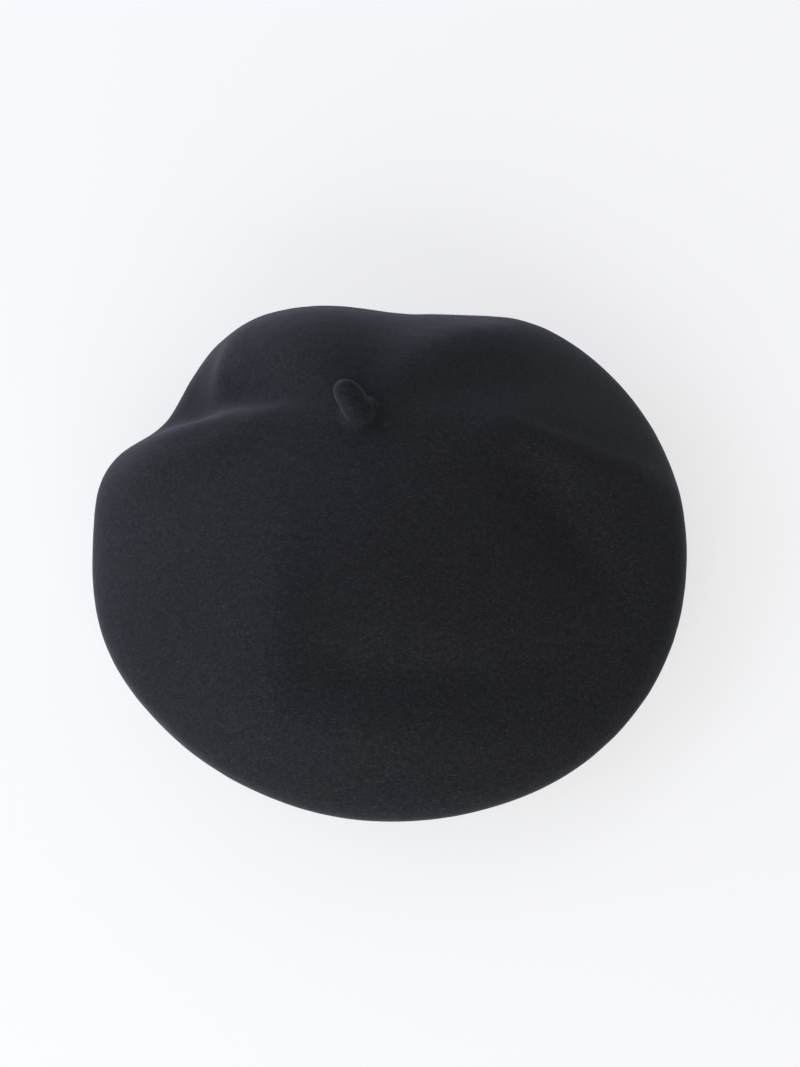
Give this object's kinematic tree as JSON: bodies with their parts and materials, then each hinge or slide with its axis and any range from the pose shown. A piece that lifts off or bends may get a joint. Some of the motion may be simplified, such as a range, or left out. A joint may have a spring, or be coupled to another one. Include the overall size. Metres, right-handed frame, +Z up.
{
  "type": "beret",
  "caption": "Soft round felted wool beret lying open side down, its slack crown folded behind a short centre stalk, with a ribbon sweatband inside.",
  "frame": {"origin": "on the resting plane, under the middle of the whole beret's box", "axes": "+Z up out of the crown, -Y towards the front of the head opening, +X to the right as seen from above with the front nearest the viewer"},
  "size_m": [0.2562, 0.2402, 0.0857],
  "materials": {
    "felt": "matt felted wool, almost black with a blue cast",
    "yarn": "matt wool yarn",
    "ribbon": "ribbed grosgrain, slight sheen",
    "thread": "polished sewing thread",
    "label": "satin ribbon"
  },
  "bodies": {
    "crown": {"felt_body": "felt", "stalk_anchor_knot": "yarn", "sweatband": "ribbon", "sweatband_stitching": "thread", "sweatband_joint_stitching": "thread", "label_stitching": "thread"},
    "stalk_nub": {"stalk": "felt"},
    "care_label_flap": {"care_label": "label"},
    "size_label_flap": {"size_label": "label"}
  },
  "joints": [
    {"name": "stalk_bend", "type": "hinge", "parent": "crown", "child": "stalk_nub", "pos_m": [-0.0145, 0.043, 0.07595], "axis": [-0.5226, -0.8526, 0], "range_deg": [-50, 30], "stiffness_Nm_per_rad": 0.002},
    {"name": "care_label_flip", "type": "hinge", "parent": "crown", "child": "care_label_flap", "pos_m": [-0.01874, 0.07418, 0.0214], "axis": [-0.9781, -0.2079, 0], "range_deg": [-22, 65], "stiffness_Nm_per_rad": 0.0006},
    {"name": "size_label_flip", "type": "hinge", "parent": "crown", "child": "size_label_flap", "pos_m": [0.01565, 0.07478, 0.0214], "axis": [-0.9848, 0.1736, 0], "range_deg": [-22, 65], "stiffness_Nm_per_rad": 0.0003}
  ]
}
